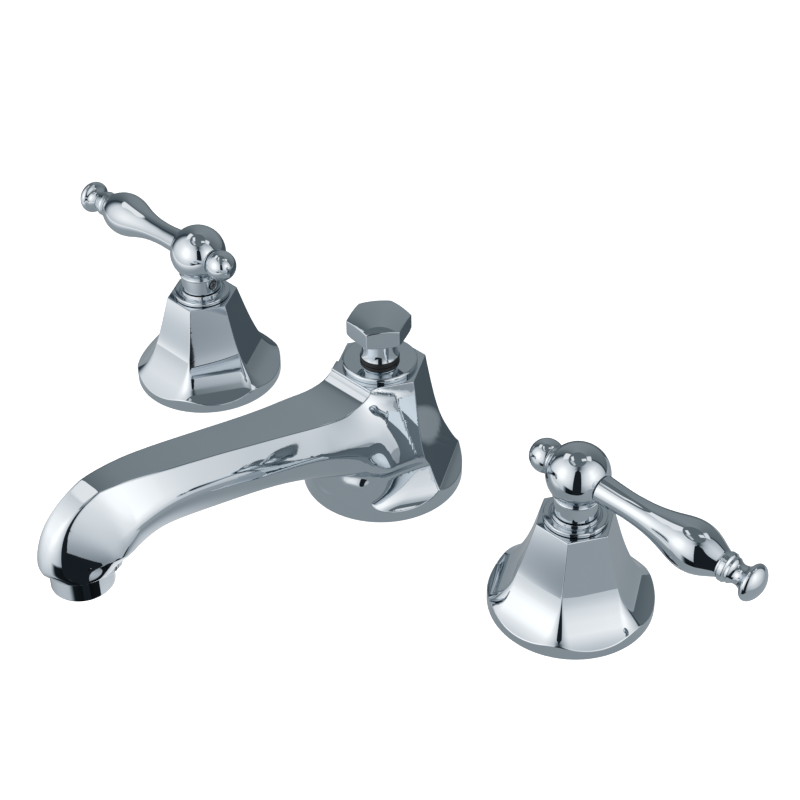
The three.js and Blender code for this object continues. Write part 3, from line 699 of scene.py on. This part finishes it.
def hub(p):
    """Ball, bead and collar, with the lever on the +X side."""
    x, y, z = p[:, 0], p[:, 1], p[:, 2]
    r = np.hypot(x, y)
    ball = np.sqrt(r * r + (z - BALL_Z) ** 2) - BALL_R
    collar = smax(smax(r - 8.0, 43.6 - z, 0.35), z - 54, 0.3)
    bead = np.hypot(r - 7.95, z - 50.6) - 0.68
    f = smin(smin(ball, collar, 0.25), bead, 0.15)
    f = smax(f, -np.maximum(r - 4.3, z - 55.3), 0.2)
    a, b = math.radians(DROOP), math.radians(BACK)
    ax = np.array([math.cos(a) * math.cos(b), math.cos(a) * math.sin(b), -math.sin(a)])
    q = p - np.array([0, 0, BALL_Z])
    s = q @ ax
    d = np.sqrt(np.maximum((q * q).sum(1) - s * s, 0))
    f = smax(f, -np.maximum(d - 6.4, 10.45 - s), 0.2)
    f = smax(f, -np.maximum(d - 3.4, 5.0 - s), 0.2)
    d = np.hypot(y, z - BALL_Z)
    f = smax(f, -np.maximum(d - 6.3, 10.1 + x), 0.2)
    f = smax(f, -np.maximum(d - 2.3, 4.8 + x), 0.2)
    return smax(f, -np.maximum(np.hypot(y, z - 47.3) - 2.0, 3 + x), 0.25)


lp, lf, ln = lathe(lever_profile(), 96)
lf = tri(lf)
hp, ht, hn = skin(hub, (-12.5, -12.5, 42.5), (12.5, 12.5, 72.5), 0.85, 8, 0.2, 4)
ball_part = []
for i in range(46):
    a = math.radians(90 - (90 + 28) * i / 45)
    ball_part.append((6.3 * math.cos(a), 14.3 + 6.3 * math.sin(a)))
bc = np.array(ball_part)[::-1]
bn = (bc - (0, 14.3)) / 6.3
bc[-1, 0] = 0
fin = join(rounded([(0, 5.3), (1.9, 5.3, 0.2), (1.9, 10.4, 0.15), (4.95, 10.4, 0.25), (4.95, 11.1, 0.25), (bc[0, 0] - 0.35, 11.25)]), (bc, bn))
fp, ff, fn = lathe(fin, 80)
ff = tri(ff)
ring = rounded([(6.6, 33.5), (7.9, 33.5), (7.9, 40.4, 0.1), (11.6, 40.4, 0.15), (11.6, 42.0, 0.75), (9.6, 42.0, 0.3), (9.0, 41.5, 0.3), (8.5, 43.25, 0.25), (6.6, 43.25, 0.2)], True)
rp, rf, rn = lathe(ring, 96, True)
for pre, s in SIDES:
    place = (s * X, HY, 0)
    body = pre + "handle"
    m = Matrix.Translation((0, 0, BALL_Z)) @ Matrix.Rotation(math.radians(s * BACK), 4, "Z") @ Matrix.Rotation(s * math.radians(90 + DROOP), 4, "Y")
    a, b = turn_to(lp, ln, m)
    put(pre + "lever_handle", a, lf, b, body, [pre + "lever"], CHROME, place)
    a, b, c = (hp, ht, hn) if s > 0 else mirror(hp, ht, hn)
    put(pre + "ball_hub", a, b, c, body, [pre + "handle_hub"], CHROME, place)
    m = Matrix.Translation((0, 0, BALL_Z)) @ Matrix.Rotation(-s * math.pi / 2, 4, "Y")
    a, b = turn_to(fp, fn, m)
    put(pre + "finial_ball", a, ff, b, body, [pre + "finial"], CHROME, place)
    put(pre + "bell_ring", rp, rf, rn, "fixed_set", [pre + "escutcheon_ring"], CHROME, place)

# ------------------------------------------------------- knob, disc, aerator
disc = rounded([(4.5, 45), (6.0, 45, 0.2), (6.0, 53.58, 0.1), (14.4, 53.58, 0.1), (14.4, 55.7, 1.0), (4.5, 55.7, 0.15)], True)
a, b, c = lathe(disc, 128, True)
put("cap_disc", a, b, c, "fixed_set", ["spout_top_disc"], CHROME)
bush = rounded([(2.75, 46), (4.2, 46), (4.2, 55.78, 0.1), (7.5, 55.78, 0.1), (7.6, 57.35, 0.35), (2.75, 57.35, 0.2)], True)
a, b, c = lathe(bush, 64, True)
put("guide_bush", a, b, c, "fixed_set", ["lift_rod_bush"], BLACK)
aer = rounded([(8.0, 36.9, 0.3), (11.0, 36.9, 0.5), (11.0, 45.1, 0.25), (9.4, 45.1, 0.1), (9.4, 49.4), (8.5, 49.4), (8.5, 38.2, 0.1), (8.0, 38.2, 0.1)], True)
a, b, c = lathe(aer, 112, True)
put("aerator_ring", a, b, c, "fixed_set", ["aerator_housing"], CHROME, (0, OUT_Y, 0))


def knob(p):
    x, y, z = p[:, 0], p[:, 1], p[:, 2]
    r = np.hypot(x, y)
    az = np.arctan2(y, x) - math.radians(53.4)
    fold = np.mod(az, math.pi / 3) - math.pi / 6
    ap = 12.4 * math.cos(math.pi / 6)
    g0 = r * np.cos(fold) - ap
    g1 = r * np.cos(math.pi / 3 - np.abs(fold)) - ap
    f = smax(g0, g1, 0.25)
    dome = np.sqrt(r * r + (z - (76.3 - 33.0)) ** 2) - 33.0
    f = smax(f, dome, 0.3)
    f = smax(f, 67.3 - z, 0.4)
    f = smax(f, (r - 11.4 - (z - 67.3) * 1.2) * 0.64, 0.3)
    neck = smax(smax(r - 6.6 - 1.0 * np.exp(-np.maximum(z - 57.4, 0) / 1.7), 57.6 - z, 0.4), z - 69, 0.3)
    f = smin(f, neck, 3.4)
    return smax(f, -np.maximum(r - 2.7, z - 68.3), 0.15)


p, t, n = skin(knob, (-14, -14, 56.5), (14, 14, 77.5), 0.85, 8, 0.18, 5)
put("lift_knob_head", p, t, n, "lift_unit", ["lift_knob"], CHROME)

# ------------------------------------------------------------ camera and room
yaw, pitch, roll = math.radians(45.019), math.radians(38.01), math.radians(-0.69)
back = Vector((math.sin(yaw) * math.cos(pitch), -math.cos(yaw) * math.cos(pitch), math.sin(pitch)))
right = (-back).cross(Vector((0, 0, 1))).normalized()
up = right.cross(-back)
r2 = math.cos(roll) * right + math.sin(roll) * up
u2 = -math.sin(roll) * right + math.cos(roll) * up
cam = bpy.data.cameras.new("camera")
co = bpy.data.objects.new("camera", cam)
bpy.context.scene.collection.objects.link(co)
eye = (Vector((10.35, 6.753, 30)) + 668.491 * back) / 1000
m = Matrix((r2, u2, back)).transposed().to_4x4()
m.translation = eye
co.matrix_world = m
cam.sensor_width = 36
cam.lens = 1726.443 * 36 / 800
cam.shift_x = (400 - 412.409) / 800
cam.shift_y = (414.56 - 400) / 800
cam.clip_start, cam.clip_end = 0.05, 20
bpy.context.scene.camera = co


# --------------------------------------------------------------- floor, lights
# A small light tent: two bright walls with a dark slit between them where the
# camera stands, a dim back, three soft ceiling panels, and a grey table that is a glowing sheet with painted light and
# shade.
# Lengths in mm, brightness as the polished metal gives it back.
TENT = (20.0, -30.0, 430.0, 850.0, -450.0)  # centre x, y, radius, top, bottom
WALL = [(-180, 0.04), (-178, 0.04), (-174, 0.15), (-169, 0.42), (-161, 0.66), (-150, 0.73), (-135, 0.83), (-120, 0.92), (-108, 0.95),
        (-95, 0.92), (-85, 0.86), (-70, 0.75), (-60, 0.62), (-52, 0.50), (-40, 0.36), (-31, 0.44), (-25, 0.56),
        (-15, 0.73), (0, 0.90), (8, 0.93), (20, 0.85), (30, 0.72), (42, 0.55), (45.5, 0.50), (48.5, 0.04), (51, 0.04), (54, 0.13),
        (60, 0.13), (80, 0.17), (100, 0.21), (130, 0.23), (150, 0.20), (165, 0.12), (176, 0.08), (178, 0.04), (180, 0.04)]
LEFT_FALL = [(-450, 0.40), (-250, 0.50), (-120, 0.62), (0, 0.80), (60, 0.92), (150, 1), (300, 1), (400, 0.95), (500, 0.86), (600, 0.78), (850, 0.66)]
RIGHT_FALL = [(-450, 0.35), (-100, 0.50), (0, 0.70), (60, 0.90), (150, 1), (300, 0.98), (400, 0.84), (500, 0.68), (600, 0.58), (850, 0.40)]
CEILING = [(-175, -125, -42, 125, 60, 0.78), (255, 150, 62, 110, 62, 0.72), (-20, -300, -20, 170, 60, 0.5)]


def fall(table, v):
    u, w = np.array(table, float).T
    return np.interp(v, u, w)


def wall_light(az, z):
    right = step(-50, -32, az) * (1 - step(46, 49, az))
    v = fall(LEFT_FALL, z) * (1 - right) + fall(RIGHT_FALL, z) * right
    behind = step(46, 49, az) + (1 - step(-180, -166, az))
    e = fall(WALL, az) * (v * (1 - behind) + behind * (0.8 + 0.2 * step(0, 150, z)))
    e = np.maximum(e, 0.72 * step(470, 540, z) * step(36, 42, az) * (1 - step(62, 72, az)))
    e = np.maximum(e, 0.78 * step(430, 500, z) * np.maximum(1 - step(-158, -146, az), step(166, 172, az)))
    e = e * (1 - 0.8 * step(480, 620, z) * np.exp(-(((az + 42) / 16) ** 2)))
    foot = np.where(az > -45, -135 - 1.2 * (az + 26), -125 - 2.2 * (az + 45))
    open_ = (1 - step(foot - 12, foot + 12, z)) * step(-92, -76, az) * (1 - step(48, 60, az))
    return e * (1 - 0.98 * open_)


def ceiling_light(x, y):
    e = np.full(len(x), 0.125)
    for px, py, turn, w, h, level in CEILING:
        c, t = math.cos(math.radians(turn)), math.sin(math.radians(turn))
        u, v = (x - px) * c + (y - py) * t, -(x - px) * t + (y - py) * c
        m = (1 - step(w - 15, w + 15, np.abs(u))) * (1 - step(h - 15, h + 15, np.abs(v)))
        e = e * (1 - m) + level * m
    return e


def bottom_light(x, y):
    az = np.degrees(np.arctan2(y - TENT[1], x - TENT[0]))
    m = step(-128, -112, az) * (1 - step(48, 60, az))
    return 0.30 * (1 - m) + 0.012 * m


def table_light(x, y):
    # the table glows, and all its brightness is painted light and shade: brighter towards the front and left, dark
    # behind the set
    e = 0.255 + 0.05 * step(100, 200, x) + 0.05 * step(-60, -160, x) * step(0, -60, y)
    e = e + 0.52 * step(-48, -138, y) * (1 - step(20, 90, x))
    behind = step(20, 30, y) * (1 - step(60, 80, x))
    e = e * (1 - behind) + 0.07 * behind
    # two pale painted patches on the dark part of the table behind the bases
    for px, py in ((15, 56), (-86, 53)):
        e = np.maximum(e, 0.21 * (1 - step(0.8, 1.15, np.hypot((x - px) / 10, (y - py) / 15))))
    return e


def tint_of(e):
    """Dim parts of the tent are a little bluer than bright ones."""
    k = [0.02, 0.15, 0.37, 0.6, 0.8, 1.0]
    red = np.interp(e, k, [0.75, 0.875, 0.967, 1.0, 1.04, 1.06])
    blue = np.interp(e, k, [1.2, 1.05, 1.04, 1.0, 0.97, 0.96])
    e = e * (1 + 0.12 * step(0.8, 0.95, e)) / 0.65
    return np.stack([e * red, e, e * blue, np.ones_like(e)], 1)


glow = bpy.data.materials.new("tent_glow")
glow.use_nodes = True
nt = glow.node_tree
nt.nodes.clear()
out = nt.nodes.new("ShaderNodeOutputMaterial")
em = nt.nodes.new("ShaderNodeEmission")
at = nt.nodes.new("ShaderNodeAttribute")
at.attribute_name = "light"
nt.links.new(at.outputs["Color"], em.inputs["Color"])
nt.links.new(em.outputs["Emission"], out.inputs["Surface"])
glow.cycles.emission_sampling = "NONE"


def sheet(name, grid, light):
    """A cloth of quads over a grid of points, with its brightness at each point."""
    k, m = grid.shape[:2]
    i, j = np.meshgrid(np.arange(k - 1), np.arange(m - 1), indexing="ij")
    a = (i * m + j).ravel()
    o = put(name, grid.reshape(-1, 3), np.stack([a, a + m, a + m + 1, a + 1], 1), None, None, None, glow)
    at = o.data.attributes.new("light", "FLOAT_COLOR", "POINT")
    at.data.foreach_set("color", tint_of(light.ravel()).astype(np.float32).ravel())
    o.visible_camera = False
    o.visible_shadow = False
    return o


az, zz = np.meshgrid(np.linspace(-180, 180, 601), np.linspace(TENT[4], TENT[3], 131), indexing="ij")
ca, sa = np.cos(np.radians(az)), np.sin(np.radians(az))
sheet("tent_wall", np.stack([TENT[0] + TENT[2] * ca, TENT[1] + TENT[2] * sa, zz], -1), wall_light(az.ravel(), zz.ravel()))
gx, gy = np.meshgrid(np.linspace(-460, 500, 97), np.linspace(-510, 450, 97), indexing="ij")
sheet("tent_ceiling", np.stack([gx, gy, np.full_like(gx, TENT[3])], -1), ceiling_light(gx.ravel(), gy.ravel()))
sheet("tent_bottom", np.stack([gx, gy, np.full_like(gx, TENT[4])], -1), bottom_light(gx.ravel(), gy.ravel()))
gx, gy = np.meshgrid(np.linspace(-460, 290, 376), np.linspace(0, 1, 241), indexing="ij")
edge = np.clip(-70 + 0.55 * (gx - 151), -140, -60)
gy = edge + gy * (450 - edge)
sheet("table_top", np.stack([gx, gy, np.full_like(gx, -0.6)], -1), table_light(gx.ravel(), gy.ravel()))
hz, hw = np.array([(-450, 90), (430, 84), (470, 44), (560, 8)], float).T
side = np.array([-1.0, 1.0])
gx = 316 + 0.848 * side[None, :] * hw[:, None]
gy = -290 + 0.53 * side[None, :] * hw[:, None]
sheet("dark_slit", np.stack([gx, gy, np.repeat(hz[:, None], 2, 1)], -1), np.full(8, 0.012))

world = bpy.data.worlds.new("room")
bpy.context.scene.world = world
world.use_nodes = True
world.node_tree.nodes["Background"].inputs["Color"].default_value = (0.95, 0.96, 0.97, 1)
world.node_tree.nodes["Background"].inputs["Strength"].default_value = 1.0
bpy.context.scene.view_settings.view_transform = "Standard"

FLOOR = plain("pale_floor", (0.80, 0.80, 0.80), (0.84, 0.84, 0.84), (0.5, 0.6), 0.0, 40, 0.02)
FLOOR.node_tree.nodes["Principled BSDF"].inputs["Emission Color"].default_value = (1, 1, 1, 1)
FLOOR.node_tree.nodes["Principled BSDF"].inputs["Emission Strength"].default_value = 0.86
FLOOR.cycles.emission_sampling = "NONE"
floor = bpy.data.meshes.new("floor")
floor.from_pydata([(-3, -3, 0), (3, -3, 0), (3, 3, 0), (-3, 3, 0)], [], [(0, 1, 2, 3)])
fo = bpy.data.objects.new("floor", floor)
bpy.context.scene.collection.objects.link(fo)
floor.materials.append(FLOOR)
fo.visible_diffuse = fo.visible_glossy = fo.visible_transmission = fo.visible_shadow = False

import json
